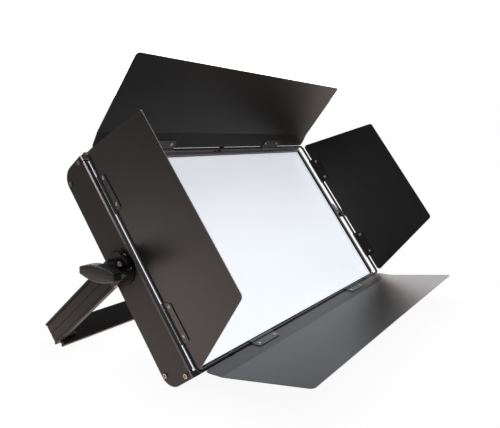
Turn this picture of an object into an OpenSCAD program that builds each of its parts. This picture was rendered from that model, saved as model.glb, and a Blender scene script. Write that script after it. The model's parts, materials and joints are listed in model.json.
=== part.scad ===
// LED soft panel light with four barn doors, a wire door frame and a floor/hanging yoke.
// Shown leaning back on the lower edge of its housing and on the crossbar of its yoke.
// Frame: +Z up, the lit face looks towards -Y, the origin is on the floor under the middle of the light.

/* [Housing] */
// Width across the two end plates
panel_w = 600; // [540:10:700]
// Height of the housing, measured along the tilted face
panel_h = 330; // [300:10:400]
// Depth of the housing
panel_d = 50; // [50:1:60]
// Outer radius of the two rear corners
corner_r = 20; // [18:1:21]
// Wall thickness of the extruded rails
rail_t = 1.8; // [1.6:0.1:2]
// Thickness of the folded end plates
plate_t = 2; // [1.5:0.1:2.5]
// Width of the bezel at the left and right of the diffuser
bezel_w = 6.5; // [6:0.5:8]
// Height of the bezel above and below the diffuser
bezel_h = 7.8; // [6:0.1:9]
// Height of the tilt axis above the middle of the housing
pivot_rise = 4; // [0:1:8]
// Lean of the lit face from upright, in degrees
rest_tilt = 36.8; // [30:0.2:44]

/* [Barn doors] */
// Diameter of the wire door frame
wire_d = 5; // [4:0.5:6]
// How far the wire frame stands in front of the bezel
wire_offset = 9.6; // [9:0.2:12]
// How far the wire centre lies inside the outline of the housing
wire_inset = 2.5; // [2:0.5:4]
// Thickness of the leaf sheet
leaf_t = 1; // [0.8:0.1:1.2]
// Width of the flat strip between the hinge and the crease of the long leaves
strip_w = 30.8; // [26:0.2:34]
// Width of a long leaf beyond its crease
long_leaf_w = 122.3; // [100:0.1:130]
// Bend at the crease, in degrees
crease_bend = 9.3; // [6:0.1:12]
// Width of a side leaf, from the hinge to the outer edge
side_leaf_w = 153.9; // [120:0.1:160]
// Length that a side leaf loses at each end towards its outer edge
side_taper = 41.6; // [20:0.1:50]
// Opening of the top leaf at rest, from straight ahead, in degrees
top_open = 15.6; // [0:0.1:60]
// Opening of the bottom leaf at rest, in degrees
bottom_open = 26.9; // [0:0.1:60]
// Opening of the left leaf at rest, in degrees
left_open = 15.3; // [0:0.1:60]
// Opening of the right leaf at rest, in degrees
right_open = 16.1; // [0:0.1:60]
// Distance of the hinge clips from the middle of a long leaf
long_clip_x = 158; // [120:1:180]
// Distance of the hinge clips from the middle of a side leaf
side_clip_x = 95; // [70:1:110]

/* [Yoke] */
// Length of a yoke arm, from the tilt axis to the back of the crossbar
arm_l = 190.6; // [185:0.2:230]
// Width of the yoke profile
arm_w = 35; // [30:1:40]
// Thickness of the yoke profile
arm_t = 8; // [7:0.5:10]
// How far the crossbar sits below the centre line of the arms
crossbar_drop = 6.9; // [0:0.1:8]
// Thickness of the friction disc between the arm and the end plate
disc_t = 6; // [5:0.5:8]
// Radius of the hole in the middle of the crossbar, for an M12 bolt
mount_hole_r = 6.5; // [5.5:0.5:7]

/* [Tilt handles] */
// Length of the T grip
grip_l = 65; // [50:1:70]
// Height of the T grip at its middle
grip_h = 22; // [18:1:26]
// Thickness of the T grip
grip_t = 15; // [12:1:16]
// Distance of the flat outer face of the grip from the end plate
grip_reach = 45; // [40:1:55]
// Radius of the threaded stud
stud_r = 5; // [4:0.5:5]

/* [Hidden] */

$fn = 48;
eps = 0.1;          // overshoot of every cutting shape
fit_gap = 0.05;     // running clearance between parts that turn on each other
half_w = panel_w / 2;
half_h = panel_h / 2;
half_d = panel_d / 2;
front_y = -half_d;
rear_y = half_d;

// The housing touches the floor with its lower rear corner, which sets the height of the tilt axis
pivot_height = (half_d - corner_r) * sin(rest_tilt)
    + (half_h + pivot_rise - corner_r) * cos(rest_tilt) + corner_r;
// The arms then slope down until the lower rear edge of the crossbar touches the floor as well
foot_drop = arm_w / 2 + crossbar_drop;
arm_angle = asin(pivot_height / sqrt(arm_l * arm_l + foot_drop * foot_drop)) - atan(foot_drop / arm_l);

// How far the tilt axis lies behind the middle of the light's whole depth
axis_y = 61.2;

arm_inner_x = half_w + disc_t;
arm_outer_x = arm_inner_x + arm_t;
wire_y = front_y - wire_offset;

// ---------------------------------------------------------------- helpers

function unit(v) = v / norm(v);

// Arc of radius r that rounds the corner b between the neighbours a and c
function corner_arc(a, b, c, r, steps) =
    r <= 0 ? [b] :
    let (
        u = unit(a - b),
        v = unit(c - b),
        half = acos(max(-1, min(1, u * v))) / 2,
        middle = b + unit(u + v) * r / sin(half),
        first = b + u * r / tan(half) - middle,
        last = b + v * r / tan(half) - middle,
        start = atan2(first[1], first[0]),
        sweep = ((atan2(last[1], last[0]) - start + 540) % 360) - 180
    )
    [for (i = [0:steps]) middle + r * [cos(start + sweep * i / steps), sin(start + sweep * i / steps)]];

// Outline through the given corners, each rounded with its own radius
function rounded(points, radii, steps = 8) =
    let (n = len(points))
    [for (i = [0:n - 1])
        each corner_arc(points[(i + n - 1) % n], points[i], points[(i + 1) % n], radii[i], steps)];

module rounded_shape(points, radii, steps = 8) {
    polygon(rounded(points, radii, steps));
}

module rounded_rect(w, h, r) {
    rounded_shape([[-w / 2, -h / 2], [w / 2, -h / 2], [w / 2, h / 2], [-w / 2, h / 2]], [r, r, r, r], 6);
}

// Straight slot with half-round ends
module slot_shape(length, height) {
    square([length - height, height], center = true);
    for (s = [-1, 1])
        translate([s * (length - height) / 2, 0])
            circle(r = height / 2);
}

// Places a drawing made around the middle of the housing into its leaning position
module in_housing() {
    translate([0, axis_y, pivot_height])
        rotate([-rest_tilt, 0, 0])
            translate([0, 0, -pivot_rise])
                children();
}

// Places a drawing whose origin is the tilt axis and whose +Y runs along the arms
module in_yoke() {
    translate([0, axis_y, pivot_height])
        rotate([-arm_angle, 0, 0])
            children();
}

// Extrudes a (y, z) section along X, centred
module along_x(length) {
    rotate([90, 0, 90])
        linear_extrude(length, center = true)
            children();
}

// Extrudes an (x, z) outline towards the rear, starting at y
module along_y(y, depth) {
    translate([0, y + depth, 0])
        rotate([90, 0, 0])
            linear_extrude(depth)
                children();
}

module rod_x(x0, x1, r) {
    translate([x0, 0, 0])
        rotate([0, 90, 0])
            cylinder(h = x1 - x0, r = r);
}

module rod_y(y0, y1, r) {
    translate([0, y0, 0])
        rotate([-90, 0, 0])
            cylinder(h = y1 - y0, r = r);
}

// Screw along -Z: a low pan head with a hex socket, whose seat is at z = 0
module socket_screw(head_r, head_h, shank_r, length) {
    socket_w = head_r * 0.95;
    difference() {
        union() {
            cylinder(h = head_h, r = head_r);
            translate([0, 0, -length])
                cylinder(h = length + head_h / 2, r = shank_r);
        }
        translate([0, 0, head_h * 0.4])
            cylinder(h = head_h, r = socket_w / sqrt(3), $fn = 6);
    }
}

module mirrored_x() {
    children();
    mirror([1, 0, 0])
        children();
}

// ---------------------------------------------------------------- housing

plate_screw_r = 1.7;
lip_reach = 5.6;
front_screw = [front_y + 10, half_h - 6.5];
rear_screw = [rear_y - 6.3, half_h - 19.3];
rail_length = panel_w - 2 * plate_t;
back_panel_t = 1.5;
back_panel_y = rear_y - 3.4;
back_panel_h = 2 * (half_h - 24.6);
spreader_back = 6.6;

module side_outline(inset) {
    h = half_h - inset;
    d = half_d - inset;
    r = corner_r - inset;
    rounded_shape([[-d, -h], [d, -h], [d, h], [-d, h]], [1.2, r, r, 1.2], 12);
}

// Section of the top rail: bezel, forward lip, top wall, round rear corner, two screw ports,
// a ledge for the heat spreader and a slot for the back panel
module rail_section() {
    port_r = 4.8;
    difference() {
        union() {
            intersection() {
                difference() {
                    side_outline(0);
                    side_outline(rail_t);
                    translate([front_y - eps, -half_h])
                        square([rail_t + 2 * eps, 2 * half_h - bezel_h]);
                }
                translate([-half_d, half_h - 35])
                    square([panel_d, 35]);
            }
            translate([front_y - lip_reach, half_h - rail_t])
                square([lip_reach + rail_t, rail_t]);
            translate([front_screw[0], front_screw[1]])
                circle(r = 4);
            translate([front_screw[0] - 2, front_screw[1]])
                square([4, half_h - front_screw[1] - rail_t / 2]);
            translate([rear_screw[0], rear_screw[1]])
                circle(r = port_r);
            translate([spreader_back, half_h - 18])
                square([1.8, 18 - rail_t / 2]);
            translate([back_panel_y - 1.6, half_h - 35])
                square([1.5, 13]);
        }
        for (p = [front_screw, rear_screw])
            translate([p[0], p[1]])
                circle(r = plate_screw_r);
    }
}

module top_rail() {
    color([0.10, 0.10, 0.105])
        in_housing()
            difference() {
                along_x(rail_length)
                    rail_section();
                top_holder_place()
                    holder_screw_places()
                        cylinder(h = 6, r = holder_screw_r + fit_gap, center = true);
            }
}

module bottom_rail() {
    color([0.10, 0.10, 0.105])
        in_housing()
            difference() {
                mirror([0, 0, 1])
                    along_x(rail_length)
                        rail_section();
                bottom_holder_places()
                    holder_screw_places()
                        cylinder(h = 6, r = holder_screw_r + fit_gap, center = true);
            }
}

// Back sheet that slides into the slots of both rails, with rows of cooling slots beside the rear box
module back_panel() {
    slot_l = 46;
    slot_h = 4;
    slot_pitch = 16;
    color([0.09, 0.09, 0.095])
        in_housing()
            difference() {
                translate([-rail_length / 2 + 0.2, back_panel_y, -back_panel_h / 2])
                    cube([rail_length - 0.4, back_panel_t, back_panel_h]);
                along_y(back_panel_y - eps, back_panel_t + 2 * eps)
                    for (side = [-1, 1], column = [0, 1], row = [-5:5])
                        translate([side * (188 + column * 60), row * slot_pitch])
                            slot_shape(slot_l, slot_h);
                translate([0, 0, -20])
                    rod_y(back_panel_y - eps, rear_y, 9);
                rear_box_screw_places()
                    rod_y(back_panel_y - eps, rear_y, 1.5);
            }
}

// Folded end plate: flat side with round rear corners, a front flange and a relief slit at each of
// the flange's ends
module end_plate() {
    relief_d = 3.2;
    relief_h = 1.5;
    relief_from = half_h - 10;
    flange_t = 1.6;
    difference() {
        union() {
            translate([-half_w + plate_t / 2, 0, 0])
                along_x(plate_t)
                    side_outline(0);
            translate([-half_w + plate_t / 2, front_y, -relief_from])
                cube([bezel_w - plate_t / 2, flange_t, 2 * relief_from]);
        }
        for (flip = [0, 1])
            mirror([0, 0, flip])
                translate([-half_w - eps, front_y - eps, relief_from])
                    cube([bezel_w + eps, relief_d + eps, relief_h]);
        for (flip = [0, 1], p = [front_screw, rear_screw])
            mirror([0, 0, flip])
                translate([0, p[0], p[1]])
                    rod_x(-half_w - eps, -half_w + plate_t + eps, plate_screw_r + 0.3);
        translate([0, 0, pivot_rise])
            rod_x(-half_w - eps, -half_w + plate_t + eps, stud_r + 1);
    }
}

module end_plate_left() {
    color([0.16, 0.145, 0.14])
        in_housing()
            end_plate();
}

module end_plate_right() {
    color([0.16, 0.145, 0.14])
        in_housing()
            mirror([1, 0, 0])
                end_plate();
}

module end_plate_screws() {
    color([0.72, 0.70, 0.66])
        in_housing()
            mirrored_x()
                for (flip = [0, 1], p = [front_screw, rear_screw])
                    mirror([0, 0, flip])
                        translate([-half_w, p[0], p[1]])
                            rotate([0, -90, 0])
                                socket_screw(3.3, 1.6, plate_screw_r - 0.1, 14);
}

// ---------------------------------------------------------------- optics

diffuser_t = 1.5;
diffuser_y = front_y + 4.5;
board_y = 2;
board_t = 1.6;

// Thin black frame between the bezel and the diffuser, seen as the wall of the shallow recess
module diffuser_frame() {
    frame_y = front_y + rail_t;
    color([0.07, 0.07, 0.07])
        in_housing()
            along_y(frame_y, diffuser_y - frame_y)
                difference() {
                    square([panel_w - 8, panel_h - 6.4], center = true);
                    square([panel_w - 2 * bezel_w, panel_h - 2 * bezel_h], center = true);
                }
}

module diffuser() {
    color([0.96, 0.97, 1.0])
        in_housing()
            translate([-half_w + 4.5, diffuser_y, -half_h + 3.6])
                cube([panel_w - 9, diffuser_t, panel_h - 7.2]);
}

// White side walls between the diffuser and the board
module reflector_frame() {
    wall_t = 1.2;
    outer = [panel_w - 20, panel_h - 28];
    start_y = diffuser_y + diffuser_t;
    color([0.93, 0.93, 0.92])
        in_housing()
            along_y(start_y, board_y - start_y)
                difference() {
                    square(outer, center = true);
                    square(outer - [2 * wall_t, 2 * wall_t], center = true);
                }
}

module led_board() {
    color([0.90, 0.91, 0.90])
        in_housing()
            translate([-half_w + 11, board_y, -half_h + 15])
                cube([panel_w - 22, board_t, panel_h - 30]);
}

module led_emitters() {
    columns = 12;
    rows = 6;
    pitch = 46;
    size = 5;
    height = 1.2;
    color([0.95, 0.85, 0.45])
        in_housing()
            for (i = [0:columns - 1], j = [0:rows - 1])
                translate([
                    (i - (columns - 1) / 2) * pitch - size / 2,
                    board_y - height,
                    (j - (rows - 1) / 2) * pitch - size / 2
                ])
                    cube([size, height, size]);
}

// Aluminium plate with ribs that carries the board and leads its heat to the back
module heat_spreader() {
    rib_h = 9;
    rib_t = 2;
    rib_pitch = 36;
    plate_y = board_y + board_t;
    color([0.70, 0.71, 0.72])
        in_housing()
            union() {
                translate([-half_w + 11, plate_y, -half_h + 15])
                    cube([panel_w - 22, spreader_back - plate_y, panel_h - 30]);
                for (k = [-3:3])
                    translate([-half_w + 20, spreader_back - eps, k * rib_pitch - rib_t / 2])
                        cube([panel_w - 40, rib_h, rib_t]);
            }
}

// ---------------------------------------------------------------- rear box and controls

box_w = 260;
box_h = 110;
box_wall = 1.5;
box_y = back_panel_y + back_panel_t;
box_back = box_y + 32;
box_rim = 10;
knob_r = 9;
knob_h = 14;
knob_z = 14;
knob_x = [22, 62];
pot_shaft_r = 3;
pot_bushing_r = 4.5;
display_x = -52;
display_z = 16;
socket_z = -28;
inlet_x = -98;
switch_x = -52;
dmx_in_x = 18;
dmx_out_x = 62;

module rear_box_screw_places() {
    for (sx = [-1, 0, 1], sz = [-1, 1])
        translate([sx * (box_w + box_rim) / 2, 0, sz * (box_h + box_rim) / 2])
            children();
}

// Pressed steel box with a screw rim, holding the supply and all controls
module rear_box() {
    color([0.11, 0.11, 0.115])
        in_housing()
            difference() {
                union() {
                    along_y(box_y, box_wall)
                        rounded_rect(box_w + 2 * box_rim, box_h + 2 * box_rim, 5);
                    along_y(box_y, box_back - box_y)
                        rounded_rect(box_w, box_h, 6);
                }
                along_y(box_y - eps, box_back - box_wall - box_y + eps)
                    rounded_rect(box_w - 2 * box_wall, box_h - 2 * box_wall, 4.5);
                rear_box_screw_places()
                    rod_y(box_y - eps, box_y + box_wall + eps, 1.8);
                for (x = knob_x)
                    translate([x, 0, knob_z])
                        rod_y(box_back - 2 * box_wall, box_back + eps, pot_bushing_r + 0.2);
                translate([display_x, 0, display_z])
                    along_y(box_back - 2 * box_wall, 2 * box_wall + eps)
                        rounded_rect(62, 24, 1.5);
                translate([inlet_x, 0, socket_z])
                    along_y(box_back - 2 * box_wall, 2 * box_wall + eps)
                        rounded_rect(28.2, 20.2, 2);
                translate([switch_x, 0, socket_z])
                    along_y(box_back - 2 * box_wall, 2 * box_wall + eps)
                        rounded_rect(20.2, 13.2, 1);
                for (x = [dmx_in_x, dmx_out_x])
                    translate([x, 0, socket_z])
                        rod_y(box_back - 2 * box_wall, box_back + eps, 11.1);
                along_y(box_back - 2 * box_wall, 2 * box_wall + eps)
                    for (k = [0:5])
                        translate([box_w / 2 - 24, -30 + k * 12])
                            slot_shape(26, 3);
            }
}

module rear_box_screws() {
    color([0.55, 0.55, 0.56])
        in_housing()
            rear_box_screw_places()
                translate([0, box_y + box_wall, 0])
                    rotate([-90, 0, 0])
                        socket_screw(2.8, 1.6, 1.4, 6);
}

module power_supply() {
    color([0.66, 0.67, 0.68])
        in_housing()
            difference() {
                translate([-125, box_y + 1, 0])
                    cube([118, 24, 50]);
                for (k = [0:8])
                    translate([-118 + k * 12, box_y + 22, 8])
                        cube([5, 3 + eps, 34]);
            }
}

module control_board() {
    color([0.10, 0.35, 0.18])
        in_housing()
            translate([-4, box_y + 8, -50])
                cube([120, 1.6, 96]);
}

// Smoked window flush in the rear face, with the display block behind it
module display_window() {
    color([0.05, 0.07, 0.10])
        in_housing()
            translate([display_x, 0, display_z])
                union() {
                    along_y(box_back, 1)
                        rounded_rect(66, 28, 2);
                    along_y(box_back - 5, 5 + eps)
                        rounded_rect(61.4, 23.4, 1);
                }
}

// The two rotary dimmers on the control board, each with a bushing through the rear face
module dimmer_pots() {
    body_y = box_y + 9.6;
    color([0.60, 0.60, 0.62])
        in_housing()
            for (x = knob_x)
                translate([x, 0, knob_z])
                    difference() {
                        union() {
                            translate([-8, body_y, -8])
                                cube([16, box_back - box_wall - body_y, 16]);
                            rod_y(box_back - box_wall - eps, box_back + 2, pot_bushing_r);
                        }
                        rod_y(body_y + 3, box_back + 3, pot_shaft_r + fit_gap);
                    }
}

// Shaft that the bushing guides and the knob is pressed on
module dimmer_shaft(x) {
    color([0.74, 0.74, 0.75])
        in_housing()
            translate([x, 0, knob_z])
                rod_y(box_back - 12, box_back + knob_h - 3, pot_shaft_r);
}

module brightness_shaft() {
    dimmer_shaft(knob_x[0]);
}

module colour_shaft() {
    dimmer_shaft(knob_x[1]);
}

// Knob with a blind bore for its shaft, a skirt and grip flutes
module dimmer_knob(x) {
    flutes = 18;
    color([0.08, 0.08, 0.085])
        in_housing()
            translate([x, 0, knob_z])
                difference() {
                    union() {
                        rod_y(box_back + 0.4, box_back + 3, knob_r + 1);
                        rod_y(box_back + 3 - eps, box_back + knob_h, knob_r);
                    }
                    rod_y(box_back, box_back + knob_h - 2.5, pot_shaft_r + 0.01);
                    rod_y(box_back, box_back + 2.5, pot_bushing_r + 0.5);
                    for (k = [0:flutes - 1])
                        rotate([0, k * 360 / flutes, 0])
                            translate([knob_r + 0.5, box_back + 4, 0])
                                rotate([-90, 0, 0])
                                    cylinder(h = knob_h, r = 1.1, $fn = 8);
                    translate([-0.6, box_back + knob_h - 0.6, knob_r * 0.3])
                        cube([1.2, 1, knob_r]);
                }
}

module brightness_knob() {
    dimmer_knob(knob_x[0]);
}

module colour_knob() {
    dimmer_knob(knob_x[1]);
}

module switch_frame() {
    color([0.06, 0.06, 0.065])
        in_housing()
            translate([switch_x, 0, socket_z])
                difference() {
                    union() {
                        along_y(box_back, 1.5)
                            rounded_rect(23, 16, 1.5);
                        along_y(box_back - 14, 14 + eps)
                            rounded_rect(19.8, 12.8, 0.8);
                    }
                    along_y(box_back - 12, 14)
                        rounded_rect(16.6, 10.2, 0.6);
                }
}

// Rocker key: a shallow V that tips about the X axis through its lower half
module power_rocker() {
    color([0.12, 0.12, 0.13])
        in_housing()
            translate([switch_x, box_back - 3, socket_z])
                union() {
                    along_x(16)
                        rounded_shape([[-3, -1.6], [-3, 1.6], [3.1, 4.2], [3.6, 0], [4.9, -3.3]],
                            [1, 1, 0.4, 0, 0.4], 3);
                    rod_x(-8.2, 8.2, 1.2);
                }
}

module power_inlet() {
    color([0.07, 0.07, 0.075])
        in_housing()
            translate([inlet_x, 0, socket_z])
                union() {
                    difference() {
                        union() {
                            along_y(box_back, 2)
                                rounded_rect(48, 23, 3);
                            along_y(box_back - 16, 16 + eps)
                                rounded_rect(27.8, 19.8, 1.6);
                        }
                        along_y(box_back - 13, 16)
                            rounded_rect(24, 16, 2.5);
                    }
                    for (p = [[-7, 0], [0, 4], [7, 0]])
                        translate([p[0] - 1, box_back - 13.5, p[1] - 2])
                            cube([2, 12, 4]);
                }
}

// Round three-pole panel socket; a plug socket has pins, the outlet has holes
module dmx_socket(x, with_pins) {
    color([0.35, 0.35, 0.36])
        in_housing()
            translate([x, 0, socket_z])
                union() {
                    difference() {
                        union() {
                            along_y(box_back, 2)
                                rounded_rect(26, 31, 2);
                            rod_y(box_back - 14, box_back + eps, 11);
                        }
                        if (with_pins) {
                            rod_y(box_back - 10, box_back + 3, 9.2);
                        } else {
                            for (a = [90, 210, 330])
                                translate([4 * cos(a), 0, 4 * sin(a)])
                                    rod_y(box_back - 9, box_back + 3, 1.3);
                        }
                    }
                    if (with_pins)
                        for (a = [90, 210, 330])
                            translate([4 * cos(a), 0, 4 * sin(a)])
                                rod_y(box_back - 10.5, box_back - 1, 1.2);
                }
}

module dmx_in() {
    dmx_socket(dmx_in_x, true);
}

module dmx_out() {
    dmx_socket(dmx_out_x, false);
}

// Steel loop on the back panel for a safety cable
module safety_eye() {
    loop_r = 11;
    wire_r = 2.5;
    base_y = back_panel_y + back_panel_t;
    color([0.62, 0.63, 0.65])
        in_housing()
            translate([0, base_y, 98])
                union() {
                    translate([-19, 0, -7])
                        cube([38, 2, 14]);
                    mirrored_x()
                        translate([loop_r, 0, 0])
                            rod_y(1.5, 9, wire_r);
                    translate([0, 9, 0])
                        rotate_extrude(angle = 180)
                            translate([loop_r, 0])
                                circle(r = wire_r);
                }
}

// Threaded steel plates behind the end plates, into which the handle studs screw
module pivot_nuts() {
    nut_t = 3;
    color([0.60, 0.60, 0.61])
        in_housing()
            mirrored_x()
                difference() {
                    translate([-half_w + plate_t, -17, pivot_rise - 30])
                        cube([nut_t, 34, 60]);
                    translate([0, 0, pivot_rise])
                        rod_x(-half_w, -half_w + 2 * nut_t, stud_r + fit_gap);
                }
}

// ---------------------------------------------------------------- wire door frame

wire_r = wire_d / 2;
wire_half = [half_w - wire_inset, half_h - wire_inset];
bend_r = 8;

module door_frame() {
    straight = wire_half - [bend_r, bend_r];
    color([0.07, 0.07, 0.07])
        in_housing()
            translate([0, wire_y, 0])
                union() {
                    for (s = [-1, 1]) {
                        translate([0, 0, s * wire_half[1]])
                            rod_x(-straight[0], straight[0], wire_r);
                        translate([s * wire_half[0], 0, -straight[1]])
                            cylinder(h = 2 * straight[1], r = wire_r);
                    }
                    for (k = [0:3]) {
                        sx = (k == 0 || k == 3) ? 1 : -1;
                        sz = (k < 2) ? 1 : -1;
                        translate([sx * straight[0], 0, sz * straight[1]])
                            rotate([90, 0, 0])
                                rotate([0, 0, 90 * k])
                                    rotate_extrude(angle = 90)
                                        translate([bend_r, 0])
                                            circle(r = wire_r);
                    }
                }
}

holder_w = 24;
holder_t = 0.7;
holder_screw_x = 8;
holder_screw_r = 1.1;

// One wire holder sits at the middle of the top rail
module top_holder_place() {
    translate([0, 0, half_h])
        children();
}

// Two wire holders sit outside the hinge clips of the bottom rail
module bottom_holder_places() {
    mirrored_x()
        translate([half_w - 70, 0, -half_h])
            mirror([0, 0, 1])
                children();
}

module holder_screw_places() {
    for (s = [-1, 1])
        translate([s * holder_screw_x, front_y - lip_reach / 2, -rail_t])
            children();
}

// Thin strap around the wire, screwed under the forward lip of a rail
module door_frame_holder() {
    ring_w = 10;
    difference() {
        union() {
            translate([-holder_w / 2, front_y - lip_reach, -rail_t - holder_t])
                cube([holder_w, lip_reach - 0.6, holder_t]);
            translate([-ring_w / 2, wire_y + wire_r - 0.2, -rail_t - holder_t])
                cube([ring_w, 5, holder_t]);
            translate([0, wire_y, -wire_inset])
                rod_x(-ring_w / 2, ring_w / 2, wire_r + holder_t);
        }
        translate([0, wire_y, -wire_inset])
            rod_x(-ring_w, ring_w, wire_r + 0.02);
        holder_screw_places()
            cylinder(h = 6, r = holder_screw_r + 0.1, center = true);
    }
}

module door_frame_holders() {
    color([0.12, 0.12, 0.12])
        in_housing() {
            top_holder_place()
                door_frame_holder();
            bottom_holder_places()
                door_frame_holder();
        }
}

module holder_screw() {
    translate([0, 0, -holder_t])
        mirror([0, 0, 1])
            socket_screw(2, 1, holder_screw_r, holder_t + rail_t - 0.1);
}

module door_frame_screws() {
    color([0.75, 0.74, 0.72])
        in_housing() {
            top_holder_place()
                holder_screw_places()
                    holder_screw();
            bottom_holder_places()
                holder_screw_places()
                    holder_screw();
        }
}

// ---------------------------------------------------------------- leaves

long_leaf_start = wire_r + 0.9;     // clear gap between the wire and a long leaf
side_leaf_start = wire_r + 1.9;     // clear gap between the wire and a side leaf
clip_l = 57;
clip_t = 1;
clip_reach = 17.5;
rivet_at = 10.5;
rivet_pitch = 40.4;
rivet_r = 1.4;

// Puts a leaf drawing (X along the wire, Y away from it, Z towards the beam) on one edge of the
// housing: edge 0 top, 180 bottom, -90 left, 90 right
module on_edge(edge, half_size, open) {
    in_housing()
        rotate([0, edge, 0])
            translate([0, wire_y, half_size - wire_inset])
                rotate([180 - open, 0, 0])
                    children();
}

module rivet_places(clip_x) {
    for (c = [-1, 1], s = [-1, 1])
        translate([c * clip_x + s * rivet_pitch / 2, rivet_at, 0])
            children();
}

// Long leaf: a strip next to the hinge and a wide sheet, bent towards the beam at the crease.
// Its section is swept along the wire and then trimmed to the outline seen from the beam.
module long_leaf_sheet() {
    t = leaf_t / 2;
    lean = [cos(crease_bend), sin(crease_bend)];
    side = [-sin(crease_bend), cos(crease_bend)];
    crease = [strip_w, 0];
    tip = crease + lean * long_leaf_w;
    bend_shift = t * tan(crease_bend / 2);
    half_inner = half_w - 9.7;
    half_outer = half_w - 12.6;
    difference() {
        intersection() {
            along_x(panel_w)
                polygon([
                    [long_leaf_start, -t], crease + [bend_shift, -t], tip - side * t,
                    tip + side * t, crease + [-bend_shift, t], [long_leaf_start, t]
                ]);
            translate([0, 0, -5])
                linear_extrude(40)
                    rounded_shape(
                        [[-half_inner - 1, long_leaf_start], [half_inner + 1, long_leaf_start],
                         [half_inner, strip_w], [half_outer, tip[0]], [-half_outer, tip[0]],
                         [-half_inner, strip_w]],
                        [8, 8, 0, 6, 6, 0], 6);
        }
        rivet_places(long_clip_x)
            cylinder(h = 10, r = rivet_r + fit_gap, center = true);
    }
}

// Side leaf: a flat trapezium with cut corners next to the hinge
module side_leaf_sheet() {
    inner_half = half_h - 5.4;
    outer_half = inner_half - side_taper;
    cut = 4.5;
    difference() {
        translate([0, 0, -leaf_t / 2])
            linear_extrude(leaf_t)
                rounded_shape(
                    [[-inner_half + cut, side_leaf_start], [inner_half - cut, side_leaf_start],
                     [inner_half, side_leaf_start + cut], [outer_half, side_leaf_w],
                     [-outer_half, side_leaf_w], [-inner_half, side_leaf_start + cut]],
                    [1.5, 1.5, 4, 6, 6, 4], 6);
        rivet_places(side_clip_x)
            cylinder(h = 10, r = rivet_r + fit_gap, center = true);
    }
}

// Section of a hinge clip: a strip folded around the wire whose two tongues hold the leaf
module clip_section() {
    tongue_z = leaf_t / 2 + 0.02;
    difference() {
        union() {
            circle(r = wire_r + fit_gap + clip_t);
            for (s = [0, 1])
                mirror([0, s])
                    translate([1, tongue_z])
                        square([clip_reach - 1, clip_t]);
        }
        circle(r = wire_r + fit_gap);
        translate([1, -tongue_z])
            square([clip_reach, 2 * tongue_z]);
    }
}

// Seen from above, one end of a clip is cut at a slant: its left end (-1) or its right end (1)
module hinge_clips(clip_x, slanted_end = -1) {
    slant = 7;
    half_l = clip_l / 2;
    for (c = [-1, 1])
        translate([c * clip_x, 0, 0])
            difference() {
                intersection() {
                    along_x(clip_l + 2)
                        clip_section();
                    translate([0, 0, -10])
                        linear_extrude(20)
                            polygon([
                                [slanted_end * half_l, -10], [-slanted_end * half_l, -10],
                                [-slanted_end * half_l, clip_reach],
                                [slanted_end * (half_l - slant), clip_reach],
                                [slanted_end * half_l, 4.5]
                            ]);
                }
                for (s = [-1, 1])
                    translate([s * rivet_pitch / 2, rivet_at, 0])
                        cylinder(h = 10, r = rivet_r + fit_gap, center = true);
            }
}

// Rivets through clip and leaf, with a low dome on both sides
module hinge_rivets(clip_x) {
    head_r = 2.6;
    head_h = 1.1;
    seat = leaf_t / 2 + 0.02 + clip_t;
    dome_r = (head_r * head_r + head_h * head_h) / (2 * head_h);
    rivet_places(clip_x)
        union() {
            cylinder(h = 2 * seat + head_h / 2, r = rivet_r, center = true);
            for (flip = [0, 1])
                mirror([0, 0, flip])
                    intersection() {
                        translate([0, 0, seat + head_h - dome_r])
                            sphere(r = dome_r);
                        translate([0, 0, seat])
                            cylinder(h = 2 * head_h, r = 2 * head_r);
                    }
        }
}

leaf_colour = [0.11, 0.11, 0.11];
clip_colour = [0.15, 0.15, 0.15];
rivet_colour = [0.70, 0.66, 0.60];
top_angle = top_open + crease_bend;
bottom_angle = bottom_open + crease_bend;

module top_leaf() {
    color(leaf_colour)
        on_edge(0, half_h, top_angle)
            long_leaf_sheet();
}

module top_leaf_clips() {
    color(clip_colour)
        on_edge(0, half_h, top_angle)
            hinge_clips(long_clip_x);
}

module top_leaf_rivets() {
    color(rivet_colour)
        on_edge(0, half_h, top_angle)
            hinge_rivets(long_clip_x);
}

module bottom_leaf() {
    color(leaf_colour)
        on_edge(180, half_h, bottom_angle)
            long_leaf_sheet();
}

module bottom_leaf_clips() {
    color(clip_colour)
        on_edge(180, half_h, bottom_angle)
            hinge_clips(long_clip_x);
}

module bottom_leaf_rivets() {
    color(rivet_colour)
        on_edge(180, half_h, bottom_angle)
            hinge_rivets(long_clip_x);
}

module left_leaf() {
    color(leaf_colour)
        on_edge(-90, half_w, left_open)
            side_leaf_sheet();
}

module left_leaf_clips() {
    color(clip_colour)
        on_edge(-90, half_w, left_open)
            hinge_clips(side_clip_x, 1);
}

module left_leaf_rivets() {
    color(rivet_colour)
        on_edge(-90, half_w, left_open)
            hinge_rivets(side_clip_x);
}

module right_leaf() {
    color(leaf_colour)
        on_edge(90, half_w, right_open)
            side_leaf_sheet();
}

module right_leaf_clips() {
    color(clip_colour)
        on_edge(90, half_w, right_open)
            hinge_clips(side_clip_x);
}

module right_leaf_rivets() {
    color(rivet_colour)
        on_edge(90, half_w, right_open)
            hinge_rivets(side_clip_x);
}

// ---------------------------------------------------------------- yoke

lip_w = 3.5;
face_recess = 1.1;
groove_w = 1.4;
foot_groove_w = 1.2;
end_back = 20;          // where the moulded end piece meets the arm profile
end_front = 23.5;       // how far the end piece reaches beyond the tilt axis
end_corner_r = 12;
tongue_l = 22;
cell = [arm_t - 4.6, arm_w / 2 - 5];
tongue_screw_y = end_back + 11;
nose_screw_y = -14;

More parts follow.
